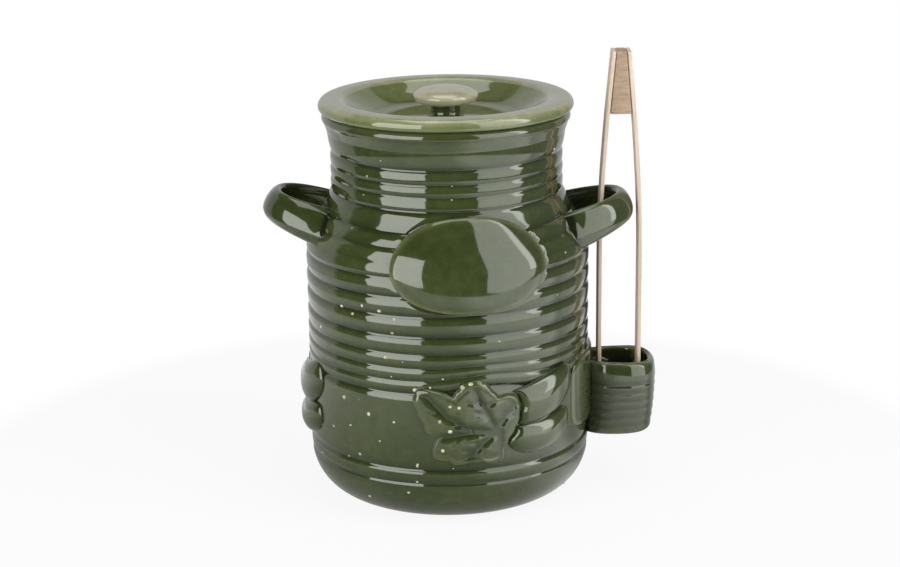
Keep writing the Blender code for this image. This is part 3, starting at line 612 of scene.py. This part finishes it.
# its lift is a pillow, the root of one less the eighth power of the share, with a bell as border, folds
# that are sine waves round the knot, and the grooves and pools sunk in it
def makeLeaf(group, degrees, raised):
    s = leaf
    share = np.concatenate([np.linspace(0.02, 0.9, 44), np.linspace(0.92, 1, 9)])[:, None]
    angle = roundTurn(288)
    reach = leafReach(angle) * share
    arc = s["arc"] + reach * np.cos(angle)
    height = s["height"] + reach * np.sin(angle)
    broad = grooveShare(arc, height, leafVeins, s["veinWidth"])
    sides = [line for vein in leafVeins for line in sideVeins(vein)]
    fine = grooveShare(arc, height, sides, s["sideWidth"])
    pools = np.minimum(sum(bell(np.hypot(arc - a, height - h), s["poolWidth"]) for a, h in leafPools), 1)
    fromKnot = np.hypot(arc - leafKnot[0], height - leafKnot[1])
    waves = np.sin(2 * pi * fromKnot / s["foldPitch"] + s["foldSway"] * np.sin(3 * angle))
    folds = s["foldDepth"] * waves * np.clip(fromKnot / s["foldFade"], 0, 1)
    inner = 1 - share**8
    sunk = s["veinDepth"] * broad + s["sideDepth"] * fine * (1 - broad) + s["poolDepth"] * pools
    border = s["border"] * bell(share - 0.91, 0.05)
    lift = s["edge"] + s["crown"] * np.sqrt(inner) + border + (folds - sunk) * inner
    film = s["film"] - s["filmVein"] * broad - s["filmSide"] * fine - s["filmPool"] * pools
    film = film + s["filmBorder"] * bell(share - 0.93, 0.05)
    arc, height = arc + radians(degrees) * pot["bellyRadius"], height + raised
    middle = arc[:1].mean(), height[:1].mean()
    makeSprig(group + "LeafSprig", [group + "_leaf"], arc, height, lift, film, middle)


# gherkins: a blunt, bent oval whose lift is a power of one less the square of the share. Beside the leaf it
# dips as a quarter circle, to be tucked under the leaf's edge
gherkin = dict(
    rise=0.0053, base=0.0006, rounding=0.62, blunt=2.6, bendRadius=0.080, tipArc=0.0810, clearance=0.0002,
    tuck=0.0035, tucked=-0.0012, film=0.30, filmCrown=0.30,
)
gherkinKinds = dict(
    upper=dict(length=0.052, width=0.0240, tilt=14.0, height=0.0698, tipBack=0.0),
    lower=dict(length=0.045, width=0.0190, tilt=8.5, height=0.0498, tipBack=0.0035),
)


def makeGherkin(group, degrees, raised, kind):
    g, size = gherkin, gherkinKinds[kind]
    share = sharesOut(40)
    out, up = bluntWave(roundTurn(176), g["blunt"])
    along = size["length"] / 2 * out
    across = size["width"] / 2 * up + 0.5 / g["bendRadius"] * along**2
    tilt = radians(size["tilt"])
    middleArc = g["tipArc"] - size["tipBack"] - size["length"] / 2
    arc = middleArc + share * (along * np.cos(tilt) - across * np.sin(tilt))
    height = size["height"] + share * (along * np.sin(tilt) + across * np.cos(tilt))
    fromLeaf = np.hypot(arc - leaf["arc"], height - leaf["height"])
    toward = np.arctan2(height - leaf["height"], arc - leaf["arc"])
    clear = np.clip((fromLeaf - leafReach(toward) - g["clearance"]) / g["tuck"], 0, 1)
    lift = g["base"] + g["rise"] * (1 - share**2) ** g["rounding"]
    lift = g["tucked"] + (lift - g["tucked"]) * np.sqrt(1 - (1 - clear) ** 2)
    film = g["film"] + g["filmCrown"] * np.sqrt(1 - share**2)
    shift = radians(degrees) * pot["bellyRadius"]
    name, nodes = group + kind.capitalize() + "Gherkin", [f"{group}_{kind}_gherkin"]
    middle = middleArc + shift, size["height"] + raised
    makeSprig(name, nodes, arc + shift, height + raised, lift, film, middle)


for group, (degrees, raised) in groups.items():
    makeLeaf(group, degrees, raised)
    for kind in gherkinKinds:
        makeGherkin(group, degrees, raised, kind)


# handles: a strap carried along a squared half loop. Its section is a blunt oval that leans in and is
# taller at the roots, with a soft ridge along its face that is a hyperbola
handle = dict(
    thickness=0.0088, spread=0.0334, rootRadius=0.056, rootTall=0.0240, tipTall=0.0160, rise=0.0151,
    height=0.1518, sectionBlunt=2.0, lean=0.28, ridgeFade=0.75, ridgeAt=-0.3, ridgeSoft=0.12, rootFlare=0.07,
    seam=0.0030, film=0.44, filmEdge=0.26, filmSeam=0.42,
)
handleKinds = dict(
    left=dict(side=-1, reach=0.1043, lift=0.0020, loopBlunt=2.35, ridge=0.64),
    right=dict(side=1, reach=0.1056, lift=-0.0014, loopBlunt=2.15, ridge=0.12),
)


def makeHandle(name):
    h, kind = handle, handleKinds[name]
    half = h["thickness"] / 2
    thick, high = bluntWave(roundTurn(56), h["sectionBlunt"])
    ridge = kind["ridge"] * (h["ridgeSoft"] - np.hypot(high - h["ridgeAt"], h["ridgeSoft"]))
    furthest = (half * thick + (ridge * (1 - h["ridgeFade"]) - h["lean"] * high) * h["tipTall"] / 2).max()
    out, along = bluntWave(np.linspace(-pi / 2, pi / 2, 150), kind["loopBlunt"])
    depth = kind["reach"] - furthest - h["rootRadius"]
    middle = np.stack([h["rootRadius"] + depth * out, (h["spread"] - half) * along], -1)
    run = np.gradient(middle, axis=0)
    run = run / np.linalg.norm(run, axis=1, keepdims=True)
    outward = np.stack([run[:, 1], -run[:, 0]], -1)
    tall = (h["rootTall"] + (h["tipTall"] - h["rootTall"]) * out)[:, None]
    level = h["height"] + kind["lift"] + h["rise"] * out
    fromWall = np.clip((np.hypot(*middle.T) - crestRadius(level)) / h["seam"], 0, 1)[:, None]
    flare = 1 + h["rootFlare"] * (1 - fromWall) ** 2
    across = half * flare * thick + ridge * (1 - h["ridgeFade"] * out[:, None]) * tall / 2
    up = tall / 2 * high
    grid = np.stack([
        kind["side"] * (middle[:, :1] + outward[:, :1] * across - h["lean"] * up),
        middle[:, 1:] + outward[:, 1:] * across,
        level[:, None] + up,
    ], -1)
    # the strap is darker where it meets the wall: pooled glaze and painted shade in that crease
    film = h["film"] + h["filmEdge"] * np.abs(high) ** 6 - h["filmSeam"] * (1 - fromWall) ** 2
    makePiece(name + "Handle", grid, potGlaze, "crock", ["handle_" + name], film)


for name in handleKinds:
    makeHandle(name)


# pocket: a cup with a blunt oval plan. Its wall tapers in with the square of the depth and leans in with
# the square of the way up to its soft wavy lip, which droops at the front, and shallow cosine grooves run
# round it
pocket = dict(
    wall=0.0050, floor=0.0045, bottom=0.0312, top=0.0753, width=0.040, back=0.0769, hollowBack=0.0839,
    front=0.1195, footIn=0.012, lipDown=0.006, settle=0.0004, blunt=2.4, cols=144, taper=0.00465,
    taperFrom=0.2, hollowTaper=0.003, grooves=6, grooveDepth=0.0003, grooveFoot=0.0065, grooveHead=0.0130,
    lipIn=0.0012, lipTall=0.0105, lipWave=0.0004, droop=0.0017, droopFrom=0.1050, droopWide=0.0145, film=0.46,
    filmGroove=0.30, filmLip=0.42, lipBand=0.0016, filmHollow=0.30, filmFloor=0.02,
)
pocketFloor = dict(back=0.092, front=0.106, width=0.014, blunt=2.2)


def pocketPlan(back, front, width, blunt=pocket["blunt"]):
    out, along = bluntWave(roundTurn(pocket["cols"]), blunt)
    return (back + front) / 2 + (front - back) / 2 * out, width / 2 * along


def makePocket():
    p = pocket
    tall, angle = p["top"] - p["bottom"], roundTurn(p["cols"])
    corners = [(p["footIn"], 0), (0, 0), (0, tall), (p["wall"], tall), (p["wall"], tall - p["lipDown"])]
    outside = cutUp(roundOff(corners, (0.0035, 0.0025, 0.0025), 9), 0.0008)
    inset, level = outside[:, :1], outside[:, 1:]
    pitch = (tall - p["grooveFoot"] - p["grooveHead"]) / (p["grooves"] - 1)
    phase = (level - p["grooveFoot"]) / pitch
    grooved = (phase > -0.5) & (phase < p["grooves"] - 0.5) & (inset < 0.001)
    groove = np.where(grooved, 0.5 + 0.5 * np.cos(2 * pi * phase), 0)
    nearLip = np.clip((level - tall + p["lipTall"]) / p["lipTall"], 0, 1)
    lipIn = p["lipIn"] * nearLip**2 * (inset < p["wall"] / 2)
    taper = p["taper"] * np.clip(1 - level / tall - p["taperFrom"], 0, 1) ** 2
    shrink = inset + taper + p["grooveDepth"] * groove + lipIn
    x, y = pocketPlan(p["back"], p["front"] - shrink, p["width"] - 2 * shrink)
    up = np.clip(level / tall, 0, 1)
    wave = p["lipWave"] * (np.sin(2 * angle + 0.6) + 0.5 * np.sin(3 * angle)) * up**4
    droop = p["droop"] * np.clip((x - p["droopFrom"]) / p["droopWide"], 0, 1) ** 2 * up**6
    shell = np.stack([x, y, p["bottom"] + level + wave - droop - p["settle"]], -1)
    share = np.linspace(0, 1, 14)[1:, None]
    depth = (tall - p["lipDown"]) * (1 - share) + p["floor"] * share
    hollowIn = p["wall"] + p["hollowTaper"] * (1 - depth / tall) ** 2
    x, y = pocketPlan(p["hollowBack"], p["front"] - hollowIn, p["width"] - 2 * hollowIn)
    hollow = np.stack([x, y, p["bottom"] + depth + 0 * x], -1)
    x, y = pocketPlan(**pocketFloor)
    flat = np.stack([x, y, p["bottom"] + p["floor"] + 0 * x], -1)
    outer = p["film"] - p["filmGroove"] * groove + p["filmLip"] * bell(level - tall, p["lipBand"])
    # painted shade: inside the pocket the glaze is painted darker the deeper it goes, down to a near black
    # floor
    inner = np.clip(p["filmHollow"] * (1 - share), p["filmFloor"], 1)
    film = np.concatenate([outer, inner, [[p["filmFloor"]]]])
    grid = np.concatenate([shell, hollow, flat])
    makePiece("tongPocket", grid, potGlaze, "crock", ["tong_pocket"], film)


makePocket()


# pad under the pocket: a squared patch of the wall with rounded edges that thins towards its two ends
pad = dict(
    arc=pi / 2 * pot["bellyRadius"], halfWidth=0.0445, height=0.06325, halfHeight=0.02025, thickness=0.0022,
    blunt=6.0, thinning=0.75, film=0.46, filmEdge=0.25,
)


# its lift is the root of one less a high power of the share, less a fifth power towards its ends
def makePad():
    share = sharesOut(44)
    out, up = bluntWave(roundTurn(240), pad["blunt"])
    arc = pad["arc"] + pad["halfWidth"] * share * out
    height = pad["height"] + pad["halfHeight"] * share * up
    lift = pad["thickness"] * (1 - share**26) ** 0.5 * (1 - pad["thinning"] * np.abs(share * out) ** 5)
    film = pad["film"] + pad["filmEdge"] * bell(share - 0.96, 0.03)
    makeSprig("pocketPad", (), arc, height, lift, film, (pad["arc"], pad["height"]))


makePad()


# lid: a broad rounded rim round a dish, with a plug that sits in the mouth
lid = dict(
    radius=0.0717, girth=0.2237, shoulder=0.0040, foot=0.0016, seat=0.2213, top=0.2273, crown=0.0008,
    rimWidth=0.0132, dishFloor=0.2164, dishRadius=0.0415, dishBend=(0.0085, 0.2210), plug=0.0619,
    plugIn=0.0585, plugFoot=0.2183, underRadius=0.0455, underFloor=0.2114, pole=0.002, cols=256, film=0.50,
    filmEdge=0.34, edgeBand=0.0022, filmFloor=0.13, floorAbove=0.214, filmRing=0.30, ringBand=0.002,
    ringEnds=(0.2155, 0.2185),
)


def makeLid():
    d = lid
    inner = d["radius"] - d["rimWidth"]
    highest = d["top"] + d["crown"]
    bendIn, bendHeight = d["dishBend"]
    under = roundOff([
        (d["pole"], d["underFloor"]), (d["underRadius"], d["underFloor"]), (d["plugIn"], d["plugFoot"]),
        (d["plug"], d["plugFoot"]), (d["plug"], d["seat"]), (d["radius"] - d["foot"], d["seat"]),
    ], (0.004, 0.003, 0.0008, 0.0005), 6)
    foot, shoulder, girth = d["foot"], d["shoulder"], d["girth"]
    edgeBelow = ellipseArc(d["radius"] - foot, girth, foot, girth - d["seat"], -88, -8, 7)
    edgeAbove = ellipseArc(d["radius"] - shoulder, girth, shoulder, highest - 0.0003 - girth, 0, 84, 14)
    dish = roundOff([
        (d["radius"] - shoulder - 0.0004, highest - 0.0002), (inner + 0.003, highest),
        (inner, d["top"] + 0.0003), (inner - bendIn, bendHeight), (d["dishRadius"], d["dishFloor"]),
        (d["pole"], d["dishFloor"]),
    ], (0.0030, 0.0026, 0.0060, 0.0035), 8)
    outline = cutUp(np.concatenate([under, edgeBelow, edgeAbove, dish]), 0.0016)
    radius, height = outline[:, :1], outline[:, 1:]
    edge = bell(height - d["top"], d["edgeBand"]) * (radius > inner - 0.002)
    # painted light: the dish floor, which faces straight up, is painted paler
    dishFloor = (radius < d["dishRadius"]) * (height > d["floorAbove"])
    low, high = d["ringEnds"]
    ring = bell(radius - d["dishRadius"], d["ringBand"]) * (height > low) * (height < high)
    film = d["film"] + d["filmEdge"] * edge + d["filmFloor"] * dishFloor - d["filmRing"] * ring
    makePiece("lidDish", turn(outline, d["cols"]), lidGlaze, "lid", ["lid"], film)


# knob: a fillet and a stem under a thick lens. The underside of the lens rises as one less the root of one
# less the cube of the share of the way out, and its top is half of an ellipse
knob = dict(
    stem=0.0082, radius=0.0184, waist=0.0072, widest=0.0116, top=0.0173, sunk=0.001, pole=0.0008, cols=160,
    fillet=((0.0115, -0.001), (0.0094, 0.0008)), stemFoot=0.0028, film=0.12, filmTop=0.84, paleFrom=0.0064,
    paleOver=0.0012, filmEdge=0.12, edgeBand=0.0016,
)


def makeKnob():
    k = knob
    share = np.linspace(0, 1, 12)[1:-1]
    radius = k["stem"] + (k["radius"] - k["stem"]) * share
    bulge = k["widest"] - k["waist"]
    underside = np.stack([radius, k["waist"] + bulge * (1 - np.sqrt(1 - share**3))], -1)
    dome = ellipseArc(0, k["widest"], k["radius"], k["top"] - k["widest"], 14, 84, 12)
    corners = np.concatenate([
        [(lid["pole"], -k["sunk"]), *k["fillet"], (k["stem"], k["stemFoot"]), (k["stem"], k["waist"])],
        underside, [(k["radius"], k["widest"])], dome, [(k["pole"], k["top"])],
    ])
    cuts = [0.0005, 0.0015, 0.002, 0.001] + [0.0009] * (len(corners) - 6)
    outline = cutUp(roundOff(corners, cuts, 8), 0.0009)
    height = outline[:, 1:]
    # painted light: the stem under the lens is painted dark as shade, and the lens above it pale as a painted
    # highlight
    film = k["film"] + k["filmTop"] * np.clip((height - k["paleFrom"]) / k["paleOver"], 0, 1)
    film = film + k["filmEdge"] * bell(height - k["widest"], k["edgeBand"])
    grid = turn(outline + (0, lid["dishFloor"]), k["cols"])
    makePiece("lidKnob", grid, lidGlaze, "lid", ["lid_knob"], film)


makeLid()
makeKnob()


# tongs: two thin arms on a wedge; the gap widens evenly along the wedge, then as a quarter sine wave
tongs = dict(
    x=0.0980, width=0.015, thickness=0.0023, bottom=0.036, top=0.2525, wedgeTop=0.0061, wedgeFoot=0.0126,
    wedgeTall=0.035, tipGap=0.0204, bowTall=0.080, hinge=0.1905, bendReach=0.022, blunt=9.0, endShare=0.93,
    endNarrow=0.15, endSoft=0.0002, glueGap=0.0001,
)


def halfGap(height):
    t = tongs
    below = t["top"] - height
    onWedge = t["wedgeTop"] + (t["wedgeFoot"] - t["wedgeTop"]) * below / t["wedgeTall"]
    share = np.clip((below - t["wedgeTall"]) / t["bowTall"], 0, 1)
    bowed = t["wedgeFoot"] + (t["tipGap"] - t["wedgeFoot"]) * np.sin(pi / 2 * share)
    return np.where(below <= t["wedgeTall"], onWedge, bowed) / 2


# a flat strip between two faces, each given by height, with softened edges and ends
def stripGrid(height, near, far):
    t = tongs
    thick, wide = bluntWave(roundTurn(48), t["blunt"])
    middle, half = (near + far)[:, None] / 2, (far - near)[:, None] / 2
    ends = np.ones((len(height), 1))
    ends[[0, -1]] = t["endShare"]
    x = t["x"] + middle + half * thick * ends
    y = t["width"] / 2 * wide * (1 - (1 - ends) * t["endNarrow"])
    return np.stack([x, y, height[:, None] + 0 * thick], -1)


def makeTongs():
    t = tongs
    soft = t["endSoft"]
    middle = np.linspace(t["bottom"] + 0.002, t["top"] - 0.001, 110)
    height = np.concatenate([[t["bottom"], t["bottom"] + soft], middle, [t["top"] - soft, t["top"]]])
    for name, side in (("inner", -1), ("outer", 1)):
        grid = stripGrid(height, side * halfGap(height), side * (halfGap(height) + t["thickness"]))
        x = t["x"] + side * t["tipGap"] / 2
        start, end = (x, 0, t["hinge"] + t["bendReach"]), (x, 0, t["hinge"] - t["bendReach"])
        bend = dict(body="arm_" + name, start=start, end=end)
        nodes = ["tong_head_" + name, "tong_arm_" + name]
        makePiece(name + "TongArm", grid, armWood, "tongs", nodes, sharp=50, blendTo=bend)
    wedge = np.linspace(t["top"] - t["wedgeTall"], t["top"], 30)
    wedge = np.concatenate([wedge[:1], wedge[:1] + soft, wedge[1:-1], wedge[-1:] - soft, wedge[-1:]])
    face = halfGap(wedge) - t["glueGap"]
    grid = stripGrid(wedge, -face, face)
    makePiece("tongWedge", grid, wedgeWood, "tongs", ["tong_spacer"], sharp=50)


makeTongs()


# flecks: small pale beads caught in the glaze, each an uneven ball. Its arc and height on the wall and its
# size are in millimetres, and the scattered ones are drawn at random
flecks = dict(
    seed=5, scattered=70, arcEnds=(-250, 250), heightEnds=(8, 205), sizeEnds=(0.25, 0.6), scale=1.4, sunk=0.5,
    uneven=0.25, rows=7, cols=12,
    seen=(
        (-64.9, 69.5, 0.9), (-47.1, 63.3, 0.8), (-31.4, 61.0, 0.6), (-40.3, 48.7, 0.5), (-54.1, 38.5, 0.7),
        (-75.8, 49.6, 0.6), (-60.5, 54.1, 0.5), (-63.5, 35.0, 0.5), (-18.4, 36.7, 0.8), (-18.6, 27.3, 0.6),
        (-50.8, 12.9, 0.6), (-66.5, 121.8, 0.8), (-57.0, 119.1, 0.8), (-39.2, 123.5, 0.8),
        (-30.2, 120.0, 0.7), (-35.5, 97.9, 0.9), (-10.5, 82.2, 0.6), (-18.9, 80.6, 1.0), (-16.1, 77.4, 0.9),
        (-23.8, 20.4, 0.6),
    ),
    onLeaf=(
        (0.2, 72.5, 0.8), (5.0, 71.6, 0.8), (-5.3, 63.9, 0.7), (0.1, 58.2, 1.0), (-3.9, 47.2, 0.9),
        (6.9, 83.2, 1.0), (11.3, 84.9, 0.9),
    ),
)


def makeFlecks():
    f = flecks
    rng = np.random.default_rng(f["seed"])
    ends = f["arcEnds"], f["heightEnds"], f["sizeEnds"]
    scattered = np.stack([rng.uniform(low, high, f["scattered"]) for low, high in ends], -1)
    wall, onLeaf = np.concatenate([f["seen"], scattered]) / 1000, np.array(f["onLeaf"]) / 1000
    leafLift = np.full(len(onLeaf), leaf["edge"] + leaf["crown"] - 0.0002)
    lift = np.concatenate([wallLift(wall[:, 0], wall[:, 1]), leafLift])
    arc, height, size = np.concatenate([wall, onLeaf]).T
    centre = onWall(arc, height, lift - f["sunk"] * size)
    lat, lon = np.linspace(-pi / 2, pi / 2, f["rows"])[1:-1, None], roundTurn(f["cols"])
    ball = np.stack([np.cos(lat) * np.cos(lon), np.cos(lat) * np.sin(lon), np.sin(lat) + 0 * lon], -1)
    points = np.concatenate([ball.reshape(-1, 3), [[0, 0, -1], [0, 0, 1]]])
    sizes = size[:, None, None] * (1 + f["uneven"] * rng.uniform(-1, 1, (len(size), 1, 3)))
    everyPoint = (centre[:, None, :] + points[None] * sizes * f["scale"]).reshape(-1, 3)
    step = (np.arange(len(size)) * len(points))[:, None, None]
    quads, fans = outwardFaces(points, *ball.shape[:2])
    faces = (quads + step).reshape(-1, 4).tolist() + (fans + step).reshape(-1, 3).tolist()
    piece = addMesh("glazeFlecks", everyPoint, faces, fleckGlaze)
    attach(piece, "crock")
    print("made flecks:", len(size))


makeFlecks()


# floor: a pale table top that keeps the soft shadow of the pot. Far from it the camera sees plain white. The
# gloss sees a glow instead, with a painted shadow of the pot, dim near it and paler far off, and painted
# light brighter towards the front right
floor = dict(
    radius=0.45, sides=128, below=0.0002, white=0.92, roughness=0.8, glow=0.90, shadowEnds=(0.13, 0.33),
    glossEnds=(0.30, 0.68), glossRight=0.75, rightEnds=(0.01, 0.15), frontEnds=(0.02, -0.04),
)


def makeFloor():
    f = floor
    angle = np.linspace(0, 2 * pi, f["sides"], endpoint=False)
    points = np.stack([np.sin(angle), -np.cos(angle), 0 * angle], -1) * f["radius"] - (0, 0, f["below"])
    material, tree, shader = newMaterial("table white")
    setInputs(tree, shader, {"Base Color": (f["white"],) * 3 + (1,), "Roughness": f["roughness"]})
    place = addNode(tree, "TexCoord").outputs["Object"]
    away = addNode(tree, "VectorMath", {"operation": "LENGTH"})
    feed(tree, away.inputs[0], place)
    spread = mapRange(tree, away.outputs["Value"], f["shadowEnds"], kind="SMOOTHSTEP")
    path = addNode(tree, "LightPath").outputs
    forCamera = calc(tree, "MULTIPLY", calc(tree, "MAXIMUM", spread, f["glow"]), path["Is Camera Ray"])
    plain = addNode(tree, "Emission", Strength=1.0).outputs["Emission"]
    seen = mixShaders(tree, forCamera, shader.outputs["BSDF"], plain)
    spot = addNode(tree, "SeparateXYZ", Vector=place).outputs
    # painted light and shade for reflections: the glow is dim near the pot as a painted shadow, and brighter
    # to the front right
    toRight = mapRange(tree, spot["X"], f["rightEnds"], (0.0, f["glossRight"]), "SMOOTHSTEP")
    toFront = mapRange(tree, spot["Y"], f["frontEnds"], kind="SMOOTHSTEP")
    even = mapRange(tree, spread, (0.0, 1.0), f["glossEnds"])
    strength = calc(tree, "ADD", even, calc(tree, "MULTIPLY", toRight, toFront))
    inGloss = addNode(tree, "Emission", Strength=strength).outputs["Emission"]
    whole = mixShaders(tree, path["Is Glossy Ray"], seen, inGloss)
    feed(tree, tree.nodes["Material Output"].inputs["Surface"], whole)
    addMesh("tableTop", points, [list(range(f["sides"]))], material)


makeFloor()


# studio: upright sheets of light between two azimuths and two elevations in degrees, and one overhead
softboxes = dict(
    window=dict(azimuth=(-66, -21), elevation=(-18, 38), distance=1.0, strength=3.6),
    broad=dict(azimuth=(29, 76), elevation=(-18, 66), distance=1.0, strength=2.05),
    lamp=dict(azimuth=(67, 77), elevation=(0, 60), distance=0.95, strength=2.4),
)
softboxMiddle = 0.12  # height that the elevations are seen from
overhead = dict(width=0.66, depth=0.80, place=(-0.02, 0.0, 1.15), strength=1.8)
backdrop = dict(
    dark=0.05, bright=0.57, side=0.36, sideSoft=0.08, sideways=0.2, top=0.66, topSoft=0.03, right=0.20,
    rightEnds=(0.5, 0.8),
)


def addLight(name, width, tall, place, toward, strength):
    data = bpy.data.lights.new(name, "AREA")
    data.shape = "RECTANGLE"
    data.size, data.size_y = width, tall
    data.energy = strength * pi * width * tall
    light = bpy.data.objects.new(name, data)
    scene.collection.objects.link(light)
    facing = Vector(toward).to_track_quat("-Z", "Y").to_matrix().to_4x4()
    light.matrix_world = Matrix.Translation(place) @ facing
    light.visible_camera = False


def makeLights():
    for name, box in softboxes.items():
        left, right = (radians(a) for a in box["azimuth"])
        low, high = (softboxMiddle + box["distance"] * tan(radians(e)) for e in box["elevation"])
        turned = (left + right) / 2
        away = Vector((np.sin(turned), -np.cos(turned), 0))
        width = 2 * box["distance"] * tan((right - left) / 2)
        place = away * box["distance"] + Vector((0, 0, (low + high) / 2))
        addLight(name, width, high - low, place, -away, box["strength"])
    o = overhead
    addLight("overhead", o["width"], o["depth"], o["place"], (0, 0, -1), o["strength"])


# world: plain white to the camera. The gloss sees a pale sweep behind the pot, up to a top, a dim room
# before it, and a faint glow at the right
def makeWorld():
    b = backdrop
    world = bpy.data.worlds.new("studio")
    scene.world = world
    world.use_nodes = True
    tree = world.node_tree
    plain = tree.nodes["Background"]
    plain.inputs["Color"].default_value = (1, 1, 1, 1)
    way = addNode(tree, "SeparateXYZ", Vector=addNode(tree, "TexCoord").outputs["Generated"]).outputs
    back = calc(tree, "SUBTRACT", way["Y"], calc(tree, "MULTIPLY", way["X"], b["sideways"]))
    behind = mapRange(tree, back, (b["side"], b["side"] + b["sideSoft"]), (b["dark"], b["bright"]))
    below = mapRange(tree, way["Z"], (b["top"], b["top"] + b["topSoft"]), (1.0, b["dark"] / b["bright"]))
    atRight = mapRange(tree, way["X"], b["rightEnds"], (0.0, b["right"]))
    strength = calc(tree, "MAXIMUM", calc(tree, "MULTIPLY", behind, below), atRight)
    room = addNode(tree, "Background", Strength=strength)
    seen = addNode(tree, "LightPath").outputs["Is Camera Ray"]
    mixed = mixShaders(tree, seen, room.outputs[0], plain.outputs[0])
    feed(tree, tree.nodes["World Output"].inputs["Surface"], mixed)


makeLights()
makeWorld()
scene.view_settings.view_transform = "Standard"
print("studio ready")
